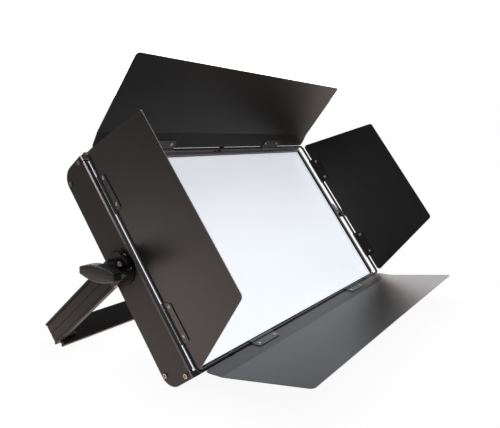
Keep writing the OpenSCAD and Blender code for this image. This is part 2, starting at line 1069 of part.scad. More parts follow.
// Outer face of the profile: recessed between two lips, with a fine groove along the middle and
// along the foot of each lip.
// Drawn as a cutter in the (thickness, width) plane, the outer face at x = 0 looking to -X.
module face_cut() {
    translate([-eps, -arm_w / 2 + lip_w])
        square([face_recess + eps, arm_w - 2 * lip_w]);
    translate([-eps, -groove_w / 2])
        square([face_recess + 0.8 + eps, groove_w]);
    for (flip = [0, 1])
        mirror([0, flip])
            translate([-eps, arm_w / 2 - lip_w - foot_groove_w])
                square([face_recess + 0.8 + eps, foot_groove_w]);
}

// Hollow arm profile on the left side, with two cells for the tongues of the end piece
module yoke_arm() {
    translate([-arm_outer_x, arm_l, 0])
        rotate([90, 0, 0])
            linear_extrude(arm_l - end_back)
                difference() {
                    translate([0, -arm_w / 2])
                        square([arm_t, arm_w]);
                    face_cut();
                    for (s = [-1, 1])
                        translate([2.6, s * (cell[1] / 2 + 1.7) - cell[1] / 2])
                            square(cell);
                }
}

module yoke_arm_left() {
    color([0.20, 0.185, 0.175])
        in_yoke()
            difference() {
                yoke_arm();
                yoke_arm_holes();
            }
}

module yoke_arm_right() {
    color([0.20, 0.185, 0.175])
        in_yoke()
            mirror([1, 0, 0])
                difference() {
                    yoke_arm();
                    yoke_arm_holes();
                }
}

bracket_leg = 26;
bracket_t = 3;
bracket_h = 22;
bracket_screw_r = 2;

module bracket_screw_heights() {
    for (s = [-1, 1])
        translate([0, 0, s * 6 - crossbar_drop / 2])
            children();
}

module yoke_arm_holes() {
    translate([0, arm_l - arm_t - bracket_leg / 2 - 1, 0])
        bracket_screw_heights()
            rod_x(-arm_inner_x - 2, -arm_inner_x + eps, bracket_screw_r + 0.1);
    translate([0, tongue_screw_y, cell[1] / 2 + 1.7])
        rod_x(-arm_outer_x - eps, -arm_outer_x + 3, 1.7);
}

// Crossbar between the arms with the same recessed face to the rear, and the mounting hole in the
// middle of a round pad that is flush with the lips
module yoke_crossbar() {
    pad_r = 13;
    color([0.17, 0.16, 0.155])
        in_yoke()
            translate([0, arm_l, -crossbar_drop])
                difference() {
                    union() {
                        difference() {
                            translate([-arm_inner_x, -arm_t, -arm_w / 2])
                                cube([2 * arm_inner_x, arm_t, arm_w]);
                            rotate([90, 0, -90])
                                linear_extrude(2 * arm_inner_x + 2, center = true)
                                    face_cut();
                        }
                        rod_y(-face_recess - 1.5, 0, pad_r);
                    }
                    rod_y(-arm_t - eps, eps, mount_hole_r);
                    mirrored_x()
                        translate([-arm_inner_x + bracket_leg / 2 + 1, 0, crossbar_drop])
                            bracket_screw_heights()
                                rod_y(-arm_t - eps, -arm_t + 3, bracket_screw_r + 0.1);
                }
}

// Steel angle in each inner corner of the yoke
module yoke_brackets() {
    color([0.10, 0.10, 0.10])
        in_yoke()
            mirrored_x()
                translate([-arm_inner_x, arm_l - arm_t, -crossbar_drop / 2])
                    difference() {
                        union() {
                            translate([0, -bracket_leg, -bracket_h / 2])
                                cube([bracket_t, bracket_leg, bracket_h]);
                            translate([0, -bracket_t, -bracket_h / 2])
                                cube([bracket_leg, bracket_t, bracket_h]);
                        }
                        translate([0, 0, crossbar_drop / 2])
                            bracket_screw_heights() {
                                translate([0, -bracket_leg / 2 - 1, 0])
                                    rod_x(-eps, bracket_t + eps, bracket_screw_r + 0.1);
                                translate([bracket_leg / 2 + 1, 0, 0])
                                    rod_y(-bracket_t - eps, eps, bracket_screw_r + 0.1);
                            }
                    }
}

module yoke_bracket_screws() {
    color([0.35, 0.35, 0.36])
        in_yoke()
            mirrored_x()
                translate([-arm_inner_x, arm_l - arm_t, 0])
                    bracket_screw_heights() {
                        translate([bracket_t, -bracket_leg / 2 - 1, 0])
                            rotate([0, 90, 0])
                                socket_screw(3.6, 2, bracket_screw_r, bracket_t + 1.9);
                        translate([bracket_leg / 2 + 1, -bracket_t, 0])
                            rotate([90, 0, 0])
                                socket_screw(3.6, 2, bracket_screw_r, bracket_t + 2.9);
                    }
}

// Glossy moulded end piece: rounded nose, bore for the stud and two tongues inside the arm
module yoke_end() {
    half = arm_w / 2;
    difference() {
        union() {
            translate([-arm_outer_x + arm_t / 2, 0, 0])
                along_x(arm_t)
                    rounded_shape(
                        [[-end_front, -half], [end_back, -half], [end_back, half], [-end_front, half]],
                        [end_corner_r, 0, 0, end_corner_r], 12);
            for (s = [-1, 1])
                translate([
                    -arm_outer_x + 2.7,
                    end_back - 1,
                    s * (cell[1] / 2 + 1.7) - cell[1] / 2 + 0.1
                ])
                    cube([cell[0] - 0.2, tongue_l, cell[1] - 0.2]);
        }
        rod_x(-arm_outer_x - 2, -arm_inner_x + 2, stud_r + fit_gap);
        translate([0, nose_screw_y, 0])
            rod_x(-arm_outer_x - eps, -arm_outer_x + 6.1, 1.9);
        translate([0, tongue_screw_y, cell[1] / 2 + 1.7])
            rod_x(-arm_outer_x + 2, -arm_outer_x + 6, 1.7);
    }
}

module yoke_end_left() {
    color([0.05, 0.05, 0.055])
        in_yoke()
            yoke_end();
}

module yoke_end_right() {
    color([0.05, 0.05, 0.055])
        in_yoke()
            mirror([1, 0, 0])
                yoke_end();
}

module yoke_end_screws() {
    color([0.80, 0.78, 0.74])
        in_yoke()
            mirrored_x() {
                translate([-arm_outer_x, nose_screw_y, 0])
                    rotate([0, -90, 0])
                        socket_screw(3.3, 1.6, 1.8, 6);
                translate([-arm_outer_x + face_recess, tongue_screw_y, cell[1] / 2 + 1.7])
                    rotate([0, -90, 0])
                        socket_screw(2.8, 1.2, 1.6, 4.5);
            }
}

// Stepped friction disc between the end piece and the end plate
module friction_disc() {
    disc_r = 24.5;
    difference() {
        union() {
            rod_x(-half_w - disc_t * 0.55, -half_w - fit_gap, disc_r);
            rod_x(-half_w - disc_t, -half_w - disc_t / 2, disc_r - 3);
        }
        rod_x(-half_w - disc_t - eps, -half_w, stud_r + fit_gap);
    }
}

module friction_disc_left() {
    color([0.09, 0.09, 0.09])
        in_yoke()
            friction_disc();
}

module friction_disc_right() {
    color([0.09, 0.09, 0.09])
        in_yoke()
            mirror([1, 0, 0])
                friction_disc();
}

// ---------------------------------------------------------------- tilt handles

neck_r = 9;
collar_r = 10;
collar_t = 2.5;

// Lens-shaped outline of the grip with cut ends
function grip_outline(steps) =
    let (end_h = grip_h * 0.42)
    concat(
        [for (i = [-steps:steps]) [i / steps * grip_l / 2,
            grip_h / 2 - (grip_h - end_h) / 2 * (i / steps) * (i / steps)]],
        [for (i = [steps:-1:-steps]) [i / steps * grip_l / 2,
            -grip_h / 2 + (grip_h - end_h) / 2 * (i / steps) * (i / steps)]]
    );

// T handle: flat-faced grip across the axis, neck and collar, moulded around the stud
module handle() {
    stud_end = grip_reach - grip_t + 5;
    difference() {
        union() {
            translate([-half_w - grip_reach + grip_t / 2, 0, 0])
                along_x(grip_t)
                    polygon(grip_outline(9));
            rod_x(-half_w - grip_reach + grip_t - 1, -arm_outer_x - 1, neck_r);
            rod_x(-arm_outer_x - collar_t, -arm_outer_x - fit_gap, collar_r);
        }
        rod_x(-half_w - stud_end, -arm_outer_x + eps, stud_r + 0.02);
    }
}

module at_pivot() {
    translate([0, axis_y, pivot_height])
        children();
}

module handle_left() {
    color([0.09, 0.09, 0.095])
        at_pivot()
            handle();
}

module handle_right() {
    color([0.09, 0.09, 0.095])
        at_pivot()
            mirror([1, 0, 0])
                handle();
}

module handle_stud() {
    rod_x(-half_w - grip_reach + grip_t - 5, -half_w + 7.5, stud_r);
}

module handle_stud_left() {
    color([0.62, 0.62, 0.64])
        at_pivot()
            handle_stud();
}

module handle_stud_right() {
    color([0.62, 0.62, 0.64])
        at_pivot()
            mirror([1, 0, 0])
                handle_stud();
}

// ---------------------------------------------------------------- nodes

top_rail();
bottom_rail();
back_panel();
end_plate_left();
end_plate_right();
end_plate_screws();
diffuser_frame();
diffuser();
reflector_frame();
led_board();
led_emitters();
heat_spreader();
rear_box();
rear_box_screws();
power_supply();
control_board();
display_window();
dimmer_pots();
brightness_shaft();
colour_shaft();
brightness_knob();
colour_knob();
switch_frame();
power_rocker();
power_inlet();
dmx_in();
dmx_out();
safety_eye();
pivot_nuts();
door_frame();
door_frame_holders();
door_frame_screws();
top_leaf();
top_leaf_clips();
top_leaf_rivets();
bottom_leaf();
bottom_leaf_clips();
bottom_leaf_rivets();
left_leaf();
left_leaf_clips();
left_leaf_rivets();
right_leaf();
right_leaf_clips();
right_leaf_rivets();
yoke_arm_left();
yoke_arm_right();
yoke_crossbar();
yoke_brackets();
yoke_bracket_screws();
yoke_end_left();
yoke_end_right();
yoke_end_screws();
friction_disc_left();
friction_disc_right();
handle_left();
handle_right();
handle_stud_left();
handle_stud_right();
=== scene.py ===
"""Looks of an LED soft panel light with barn doors and a yoke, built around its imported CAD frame."""

import json
import math

import bmesh
import bpy
from mathutils import Matrix, Vector


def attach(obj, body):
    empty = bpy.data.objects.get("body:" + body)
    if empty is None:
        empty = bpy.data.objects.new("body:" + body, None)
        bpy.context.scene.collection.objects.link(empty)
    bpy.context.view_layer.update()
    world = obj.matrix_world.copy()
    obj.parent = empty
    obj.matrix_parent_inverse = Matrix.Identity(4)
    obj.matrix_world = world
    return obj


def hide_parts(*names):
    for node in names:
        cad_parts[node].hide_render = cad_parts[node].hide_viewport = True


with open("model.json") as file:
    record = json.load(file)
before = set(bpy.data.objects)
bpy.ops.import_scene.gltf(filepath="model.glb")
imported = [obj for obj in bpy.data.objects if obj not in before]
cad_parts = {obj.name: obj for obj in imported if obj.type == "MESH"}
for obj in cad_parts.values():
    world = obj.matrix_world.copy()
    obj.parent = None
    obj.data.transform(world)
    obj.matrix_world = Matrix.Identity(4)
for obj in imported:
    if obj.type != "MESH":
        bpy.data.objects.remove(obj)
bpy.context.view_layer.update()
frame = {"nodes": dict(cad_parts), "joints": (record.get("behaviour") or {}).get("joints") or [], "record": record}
nodes = frame["nodes"]
slot_of = {part["node"]: part["material_slot"] for part in frame["record"]["subparts"]}
joints = {joint["name"]: joint for joint in frame["joints"]}

MM = 0.001

# Directions and places of the frame that the looks are drawn from
pivot = Vector(joints["housing_tilt"]["pos_m"])
housing_up = Vector(joints["right_door_hinge"]["axis"])
housing_back = Vector(joints["brightness_turn"]["axis"])
across = Vector((1.0, 0.0, 0.0))


def reach(node, direction):
    """How far a CAD node reaches along a direction: its lowest and highest place."""
    places = [direction.dot(vertex.co) for vertex in nodes[node].data.vertices]
    return min(places), max(places)


# ---------------------------------------------------------------- node helpers


class NodeTree:
    """Short ways to add nodes to a material's or the world's node tree."""

    def __init__(self, tree, output, coordinate):
        self.tree = tree
        self.tree.nodes.clear()
        self.output = self.add(output)
        self.coordinates = self.add("ShaderNodeTexCoord")
        self.place = self.coordinates.outputs[coordinate]

    def add(self, kind):
        return self.tree.nodes.new(kind)

    def link(self, source, target):
        self.tree.links.new(source, target)

    def put(self, value, target):
        """Sets an input to a number or colour, or links it to another node's output."""
        if isinstance(value, bpy.types.NodeSocket):
            self.link(value, target)
        elif isinstance(value, tuple):
            target.default_value = (*value, 1.0) if len(value) == 3 else value
        else:
            target.default_value = value

    def stretched(self, factors):
        mapping = self.add("ShaderNodeMapping")
        self.link(self.place, mapping.inputs["Vector"])
        mapping.inputs["Scale"].default_value = factors
        return mapping.outputs["Vector"]

    def noise(self, scale, detail=3.0, roughness=0.5, place=None):
        texture = self.add("ShaderNodeTexNoise")
        texture.inputs["Scale"].default_value = scale
        texture.inputs["Detail"].default_value = detail
        texture.inputs["Roughness"].default_value = roughness
        self.link(place or self.place, texture.inputs["Vector"])
        return texture.outputs["Fac"]

    def cells(self, scale):
        texture = self.add("ShaderNodeTexVoronoi")
        texture.inputs["Scale"].default_value = scale
        self.link(self.place, texture.inputs["Vector"])
        return texture.outputs["Distance"]

    def remap(self, value, low, high, to_low, to_high, smooth=False):
        node = self.add("ShaderNodeMapRange")
        node.interpolation_type = "SMOOTHSTEP" if smooth else "LINEAR"
        self.link(value, node.inputs["Value"])
        node.inputs["From Min"].default_value = low
        node.inputs["From Max"].default_value = high
        self.put(to_low, node.inputs["To Min"])
        self.put(to_high, node.inputs["To Max"])
        return node.outputs["Result"]

    def spread(self, noise, to_low, to_high):
        """Stretches the middle of a noise, where nearly all of it lies, over a range."""
        return self.remap(noise, 0.3, 0.7, to_low, to_high)

    def math(self, operation, first, second=0.0):
        node = self.add("ShaderNodeMath")
        node.operation = operation
        self.put(first, node.inputs[0])
        self.put(second, node.inputs[1])
        return node.outputs[0]

    def mix(self, share, first, second):
        node = self.add("ShaderNodeMix")
        node.data_type = "RGBA"
        self.put(share, node.inputs["Factor"])
        self.put(first, node.inputs[6])
        self.put(second, node.inputs[7])
        return node.outputs[2]

    def bump(self, height, strength, distance, under=None):
        node = self.add("ShaderNodeBump")
        node.inputs["Strength"].default_value = strength
        node.inputs["Distance"].default_value = distance
        self.link(height, node.inputs["Height"])
        if under is not None:
            self.link(under, node.inputs["Normal"])
        return node.outputs["Normal"]

    def along(self, vector, direction):
        """The dot product of a vector output with a fixed direction."""
        product = self.add("ShaderNodeVectorMath")
        product.operation = "DOT_PRODUCT"
        self.link(vector, product.inputs[0])
        product.inputs[1].default_value = direction
        return product.outputs["Value"]

    def seen_directly(self):
        """1 for what the camera sees directly, 0 for light and reflections."""
        return self.add("ShaderNodeLightPath").outputs["Is Camera Ray"]


class Shader(NodeTree):
    """A new node material with a Principled surface."""

    def __init__(self, name):
        self.material = bpy.data.materials.new(name)
        self.material.use_nodes = True
        super().__init__(self.material.node_tree, "ShaderNodeOutputMaterial", "Object")
        self.surface = self.add("ShaderNodeBsdfPrincipled")
        self.link(self.surface.outputs[0], self.output.inputs["Surface"])

    def set(self, name, value):
        self.put(value, self.surface.inputs[name])


def scaled(colour, factor):
    return tuple(min(1.0, channel * factor) for channel in colour)


DUST = (0.45, 0.43, 0.41)
DUST_SHARE = 0.03


def coated(name, colour, roughness=0.5, grain=1400.0, depth=0.00004, mottle=0.12, wave=0.0,
           specular=0.5, coat=0.0, gloss_change=0.03):
    """Powder-coated or painted sheet: fine grain, faint mottling, slow waviness, a little dust."""
    shader = Shader(name)
    clouds = shader.noise(9.0, 4.0)
    specks = shader.noise(420.0, 2.0)
    base = shader.mix(
        shader.spread(clouds, 0.0, 1.0), scaled(colour, 1.0 - mottle), scaled(colour, 1.0 + mottle)
    )
    dusty = shader.remap(specks, 0.68, 0.78, 0.0, DUST_SHARE)
    shader.set("Base Color", shader.mix(dusty, base, DUST))
    gloss = shader.noise(60.0, 3.0)
    shader.set("Roughness", shader.spread(gloss, roughness - gloss_change, roughness + gloss_change))
    shader.set("Specular IOR Level", specular)
    shader.set("Coat Weight", coat)
    shader.set("Coat Roughness", 0.25)
    normal = shader.bump(shader.noise(grain, 2.0), 0.6, depth)
    if wave:
        normal = shader.bump(shader.noise(7.0, 1.0), 1.0, wave, normal)
    shader.set("Normal", normal)
    return shader


EDGE_FACING = 0.6       # a surface that faces less than this along every face normal is a cut edge
EDGE_ROUGHNESS = 0.35


def cut_edges(shader, face_normals, colour):
    """Shows the thin cut edges of a sheet brighter than its faces, whose normals are given."""
    facing = None
    for direction in face_normals:
        size = shader.math("ABSOLUTE", shader.along(shader.coordinates.outputs["Normal"], direction))
        facing = size if facing is None else shader.math("MAXIMUM", facing, size)
    edge = shader.math("LESS_THAN", facing, EDGE_FACING)
    base = shader.surface.inputs["Base Color"].links[0].from_socket
    rough = shader.surface.inputs["Roughness"].links[0].from_socket
    shader.set("Base Color", shader.mix(edge, base, colour))
    blend = shader.add("ShaderNodeMix")
    shader.link(edge, blend.inputs["Factor"])
    shader.link(rough, blend.inputs[2])
    blend.inputs[3].default_value = EDGE_ROUGHNESS
    shader.set("Roughness", blend.outputs[0])
    return shader


WIRE_SHADE_REACH = 5 * MM      # how close to its top and bottom run the wire's reflections are dimmed, as painted shade
WIRE_SHADE_FADE = 3 * MM


def wire_paint(name):
    """Gloss paint of the door wire; on its long runs the coat and specular are turned down, painted shade for
    where the leaves shade them.
    """
    shader = coated(name, (0.010, 0.010, 0.010), 0.16, depth=0.000005)
    low, high = reach("door_frame", housing_up)
    middle = (low + high) / 2
    height = shader.math("SUBTRACT", shader.along(shader.place, housing_up), middle)
    off_centre = shader.math("ABSOLUTE", height)
    shade_from = (high - low) / 2 - WIRE_SHADE_REACH
    shader.set("Coat Weight", shader.remap(off_centre, shade_from - WIRE_SHADE_FADE, shade_from, 0.8, 0.0))
    shader.set("Specular IOR Level", shader.remap(off_centre, shade_from - WIRE_SHADE_FADE, shade_from, 0.5, 0.12))
    return shader


# painted light: the paler grey of the band above the diffuser
BAND_LIT_GREY = (0.18, 0.18, 0.20)
FOLD_WIDTH = 2.9 * MM
FOLD_BLUR = 0.3 * MM
FOLD_DEPTH = 0.8 * MM
# painted highlight colour on the end plates' front fold
FOLD_HIGHLIGHT_PALE = (0.95, 0.89, 0.86)


def painted_lit_bezel(shader):
    """Painted light: a paler grey on the narrow band above the diffuser, its face and the underside of its lip,
    where they face forwards or downwards, standing for the light they catch.
    """
    normal = shader.coordinates.outputs["Normal"]
    forwards = shader.along(normal, -housing_back)
    downwards = shader.along(normal, -housing_up)
    facing = shader.remap(shader.math("MAXIMUM", forwards, downwards), 0.9, 0.98, 0.0, 1.0)
    base = shader.surface.inputs["Base Color"].links[0].from_socket
    shader.set("Base Color", shader.mix(facing, base, BAND_LIT_GREY))
    return shader


def painted_fold_highlight(shader):
    """Painted highlight: a pale line along the front fold of an end plate, standing for light caught on the fold's
    rounded edge, fading downwards.
    """
    front = reach("end_plate_left", -housing_back)[1]
    side = -reach("end_plate_left", across)[0]
    forwards = shader.along(shader.place, -housing_back)
    sideways = shader.math("ABSOLUTE", shader.along(shader.place, across))
    line_from = front - FOLD_WIDTH
    near_front = shader.remap(forwards, line_from, line_from + FOLD_BLUR, 0.0, 1.0)
    skin_from = side - FOLD_DEPTH
    outside = shader.remap(sideways, skin_from, skin_from + FOLD_BLUR, 0.0, 1.0)
    low, high = reach("end_plate_left", housing_up)
    fade_from = (low + high) / 2
    fade = shader.remap(shader.along(shader.place, housing_up), fade_from, high, 0.10, 1.0, smooth=True)
    share = shader.math("MULTIPLY", shader.math("MULTIPLY", near_front, outside), fade)
    base = shader.surface.inputs["Base Color"].links[0].from_socket
    shader.set("Base Color", shader.mix(share, base, FOLD_HIGHLIGHT_PALE))
    return shader


def metal(name, colour, roughness=0.3, streaks=(1.0, 1.0, 1.0), streak_scale=300.0, depth=0.00001,
          stain=0.15):
    """Bare or plated metal with fine streaks and faint stains."""
    shader = Shader(name)
    brushed = shader.noise(streak_scale, 4.0, 0.6, shader.stretched(streaks))
    stains = shader.noise(40.0, 3.0)
    shader.set("Base Color", shader.mix(
        shader.remap(stains, 0.35, 0.7, 0.0, 1.0), colour, scaled(colour, 1.0 - stain)
    ))
    shader.set("Metallic", 1.0)
    shader.set("Roughness", shader.spread(brushed, roughness - 0.07, roughness + 0.1))
    shader.set("Normal", shader.bump(brushed, 0.5, depth))
    return shader


def moulded(name, colour, roughness=0.45, grain=900.0, depth=0.00006, coat=0.0, mottle=0.08,
            specular=0.5):
    """Moulded plastic: eroded grain, slow variation in gloss."""
    shader = Shader(name)
    base = shader.mix(
        shader.spread(shader.noise(25.0, 3.0), 0.0, 1.0),
        scaled(colour, 1.0 - mottle), scaled(colour, 1.0 + mottle)
    )
    shader.set("Base Color", base)
    gloss = shader.noise(45.0, 2.0)
    shader.set("Roughness", shader.spread(gloss, roughness - 0.06, roughness + 0.06))
    shader.set("Specular IOR Level", specular)
    shader.set("Coat Weight", coat)
    shader.set("Coat Roughness", 0.08)
    shader.set("Normal", shader.bump(shader.cells(grain), 0.4, depth))
    return shader


# painted light: emission that brightens the diffuser as if lit, weaker towards the top as painted shade
OPAL_PAINTED_LIGHT = 0.70
OPAL_PAINTED_LIGHT_TOP = OPAL_PAINTED_LIGHT * 0.75
OPAL_PAINTED_TINT = (0.88, 0.93, 1.0)


def opal(name):
    """Opal front: smooth, slightly blue-white, with a faint glow that is painted light: it stands in for the
    studio light on the diffuser, and is weaker towards the top as painted shade.
    """
    shader = Shader(name)
    shader.set("Base Color", shader.mix(
        shader.spread(shader.noise(4.0, 2.0), 0.0, 1.0), (0.86, 0.885, 0.93), (0.90, 0.92, 0.955)
    ))
    shader.set("Roughness", shader.spread(shader.noise(30.0, 2.0), 0.50, 0.58))
    height = shader.along(shader.place, housing_up)
    glow = shader.remap(height, *reach("diffuser", housing_up), OPAL_PAINTED_LIGHT, OPAL_PAINTED_LIGHT_TOP)
    shader.set("Emission Color", OPAL_PAINTED_TINT)
    shader.set("Emission Strength", glow)
    shader.set("Normal", shader.bump(shader.noise(1600.0, 2.0), 0.2, 0.00002))
    return shader


# ---------------------------------------------------------------- materials


def leaf_normals(hinge_name, opening_degrees, crease_degrees):
    """Face normals of a leaf's flat parts: the strip and, past the crease, the sheet."""
    axis = Vector(joints[hinge_name]["axis"])
    forward = -housing_back
    strip = Matrix.Rotation(math.radians(opening_degrees), 3, axis) @ forward
    normals = [axis.cross(strip).normalized()]
    if crease_degrees:
        normals.append(Matrix.Rotation(math.radians(-crease_degrees), 3, axis) @ normals[0])
    return normals


def opening_at_rest(hinge_name, fully_open):
    """Opening at rest of a door, counted from straight ahead, from the joint's upper limit."""
    return fully_open - joints[hinge_name]["range_deg"][1]


LEAF_BLACK = (0.010, 0.0098, 0.0096)
# painted light: the bottom leaf is the same black sheet, drawn paler because its upper face is lit from above
LEAF_LIT_GREY = (0.022, 0.0222, 0.0238)
CUT_EDGE = (0.05, 0.048, 0.046)
# painted highlight: the left leaf's free edge, drawn pale where light catches it
LEAF_EDGE_HIGHLIGHT = (0.30, 0.29, 0.28)
SHEET_BLACK = (0.012, 0.0117, 0.0115)


def leaf_material(name, hinge_name, fully_open, crease, tone, edge, specular):
    shader = coated(
        name, tone, roughness=0.38, grain=1500.0, depth=0.00003, mottle=0.05, specular=specular,
        gloss_change=0.006
    )
    normals = leaf_normals(hinge_name, opening_at_rest(hinge_name, fully_open), crease)
    return cut_edges(shader, normals, edge).material


def slot_material(slot):
    """The material of every slot that is the same on all its nodes."""
    makers = {
        "black_rail": lambda: coated(slot, SHEET_BLACK, 0.42),
        "back_sheet": lambda: coated(slot, SHEET_BLACK, 0.5, wave=0.0004),
        # end plates carry a painted highlight along their front fold
        "end_plate": lambda: painted_fold_highlight(coated(slot, (0.016, 0.0145, 0.014), 0.5, gloss_change=0.01)),
        "nickel_screws": lambda: metal(slot, (0.48, 0.43, 0.39), 0.32),
        "diffuser_frame": lambda: moulded(slot, (0.006, 0.006, 0.006), 0.6, specular=0.1),
        "opal": lambda: opal(slot),
        "white_reflector": lambda: moulded(slot, (0.85, 0.85, 0.84), 0.5),
        "white_board": lambda: moulded(slot, (0.75, 0.76, 0.75), 0.4),
        "led_phosphor": lambda: moulded(slot, (0.85, 0.66, 0.16), 0.3, coat=0.5),
        "bare_aluminium": lambda: metal(slot, (0.72, 0.73, 0.74), 0.35, (0.04, 1.0, 1.0)),
        "rear_box": lambda: coated(slot, SHEET_BLACK, 0.48, wave=0.0003),
        "green_board": lambda: moulded(slot, (0.012, 0.11, 0.035), 0.35, coat=0.4),
        "smoked_window": lambda: moulded(slot, (0.006, 0.008, 0.012), 0.12, coat=1.0, depth=0.000005),
        "pot_metal": lambda: metal(slot, (0.55, 0.55, 0.56), 0.28),
        "knob_plastic": lambda: moulded(slot, (0.012, 0.012, 0.0125), 0.45),
        "switch_plastic": lambda: moulded(slot, (0.014, 0.014, 0.015), 0.38),
        "socket_plastic": lambda: moulded(slot, (0.013, 0.013, 0.013), 0.42),
        "socket_metal": lambda: metal(slot, (0.16, 0.16, 0.165), 0.35),
        "zinc_steel": lambda: metal(slot, (0.58, 0.59, 0.6), 0.32),
        "black_wire": lambda: wire_paint(slot),
        "clip_sheet": lambda: coated(slot, (0.011, 0.0107, 0.0105), 0.36, coat=0.1),
        "rivet_metal": lambda: metal(slot, (0.44, 0.38, 0.335), 0.32),
        "yoke_profile": lambda: coated(
            slot, (0.008, 0.0073, 0.007), 0.4, grain=2200.0, depth=0.00002, specular=0.25
        ),
        "bracket_steel": lambda: coated(slot, (0.012, 0.012, 0.012), 0.45),
        "black_screws": lambda: metal(slot, (0.07, 0.07, 0.072), 0.4),
        "gloss_end": lambda: moulded(
            slot, (0.005, 0.005, 0.0055), 0.14, coat=0.3, depth=0.00001, specular=0.35
        ),
        "friction_disc": lambda: moulded(slot, (0.005, 0.005, 0.0052), 0.25, specular=0.18),
        "handle_plastic": lambda: moulded(slot, (0.018, 0.0178, 0.0176), 0.42),
    }
    return makers[slot]().material


SIDE_DOOR_OPEN = 90.0
LONG_DOOR_OPEN = 100.0
CREASE = 9.3
# The four leaves are one black sheet: the bottom leaf's paler tone is painted light on its lit upper face, the
# left leaf's pale edge is a painted highlight, and each leaf's specular level is set to match how it is lit.
leaf_settings = {
    "top_leaf": ("top_door_hinge", LONG_DOOR_OPEN, CREASE, LEAF_BLACK, CUT_EDGE, 0.14),
    "bottom_leaf": ("bottom_door_hinge", LONG_DOOR_OPEN, CREASE, LEAF_LIT_GREY, CUT_EDGE, 0.5),
    "left_leaf": ("left_door_hinge", SIDE_DOOR_OPEN, 0.0, LEAF_BLACK, LEAF_EDGE_HIGHLIGHT, 0.46),
    "right_leaf": ("right_door_hinge", SIDE_DOOR_OPEN, 0.0, LEAF_BLACK, CUT_EDGE, 0.85),
}
slot_materials = {}


def dress_cad_nodes():
    for name, piece in nodes.items():
        slot = slot_of[name]
        if name == "top_rail":
            # the top rail's band is painted paler, as painted light
            material = painted_lit_bezel(coated("top_rail_sheet", SHEET_BLACK, 0.42)).material
        # painted highlight: the yoke's end screws get a much paler metal than the other nickel screws, so that
        # they look lit on the dim left side
        elif name == "yoke_end_screws":
            material = metal("nickel_screws_painted_lit", (0.86, 0.79, 0.73), 0.5).material
        elif name in leaf_settings:
            material = leaf_material("leaf_sheet_" + name, *leaf_settings[name])
        else:
            if slot not in slot_materials:
                slot_materials[slot] = slot_material(slot)
            material = slot_materials[slot]
        piece.data.materials.clear()
        piece.data.materials.append(material)


dress_cad_nodes()

# ---------------------------------------------------------------- softened edges

EDGE_ROUNDING = {
    "end_plate_left": 0.5,
    "end_plate_right": 0.5,
    "top_rail": 0.5,
    "bottom_rail": 0.5,
    "yoke_arm_left": 0.4,
    "yoke_arm_right": 0.4,
    "yoke_crossbar": 0.4,
    "yoke_end_left": 1.6,
    "yoke_end_right": 1.6,
    "rear_box": 0.5,
    "friction_disc_left": 0.6,
    "friction_disc_right": 0.6,
    "display_window": 0.4,
    "power_inlet": 0.4,
    "power_rocker": 0.4,
}
SHARP = math.radians(35.0)


def soften(name, width_mm):
    """Rounds a CAD node's sharp edges with modifiers, on a surface welded and cleared of flat cuts."""
    piece = nodes[name]
    weld = piece.modifiers.new("weld", "WELD")
    weld.merge_threshold = 0.002 * MM
    flat = piece.modifiers.new("flat", "DECIMATE")
    flat.decimate_type = "DISSOLVE"
    flat.angle_limit = math.radians(0.5)
    bevel = piece.modifiers.new("bevel", "BEVEL")
    bevel.width = width_mm * MM
    bevel.segments = 2
    bevel.limit_method = "ANGLE"
    bevel.angle_limit = SHARP
    bevel.harden_normals = True


for node_name, rounding in EDGE_ROUNDING.items():
    soften(node_name, rounding)

# ---------------------------------------------------------------- T grips

GRIP_LENGTH = 65 * MM
GRIP_HEIGHT = 22 * MM
GRIP_THICKNESS = 15 * MM
GRIP_END = 0.42         # height of the grip's ends, as a share of its middle
GRIP_ROUNDING = 2.2 * MM
GRIP_BACK_ROUNDING = 1.5 * MM
GRIP_CROWN = 0.6 * MM
NECK_RADIUS = 9 * MM
NECK_FLARE = 1.2 * MM
NECK_OVERLAP = 2.0 * MM     # how far the neck starts inside the grip
COLLAR_RADIUS = 10 * MM
COLLAR_LENGTH = 2.6 * MM
COLLAR_EDGE = 0.6 * MM
COLLAR_STEP = 0.4 * MM      # length of the step from the neck to the collar


def lens_outline(steps=12, corner=2.5 * MM, corner_steps=5):
    """Clockwise outline of the grip, as (along, up): two shallow arcs with rounded ends."""
    half = GRIP_LENGTH / 2
    arc_end = half - corner

    def half_height(along):
        return GRIP_HEIGHT / 2 * (1.0 - (1.0 - GRIP_END) * (along / half) ** 2)

    quarter = []
    for step in range(steps):
        along = arc_end * step / steps
        quarter.append((along, half_height(along)))
    for step in range(corner_steps + 1):
        angle = math.radians(90.0 * step / corner_steps)
        drop = corner * (1.0 - math.cos(angle))
        quarter.append((arc_end + corner * math.sin(angle), half_height(arc_end) - drop))
    right = quarter + [(along, -up) for along, up in reversed(quarter)]
    left = [(-along, -up) for along, up in right[1:-1]]
    return right + left


def inset(outline, distance):
    """Moves every point of a clockwise outline inwards along its own normal."""
    count = len(outline)
    moved = []
    for index, (along, up) in enumerate(outline):
        before = outline[index - 1]
        after = outline[(index + 1) % count]
        tangent = Vector((after[0] - before[0], after[1] - before[1])).normalized()
        moved.append((along + tangent.y * distance, up - tangent.x * distance))
    return moved


def joined_rings(mesh, rings):
    """Quads between neighbouring closed rings of vertices."""
    for first, second in zip(rings, rings[1:]):
        count = len(first)
        for index in range(count):
            following = (index + 1) % count
            mesh.faces.new((first[index], first[following], second[following], second[index]))


def capped(mesh, ring, centre):
    """A fan from a ring to a centre vertex."""
    tip = mesh.verts.new(centre)
    for index, vertex in enumerate(ring):
        mesh.faces.new((vertex, ring[(index + 1) % len(ring)], tip))


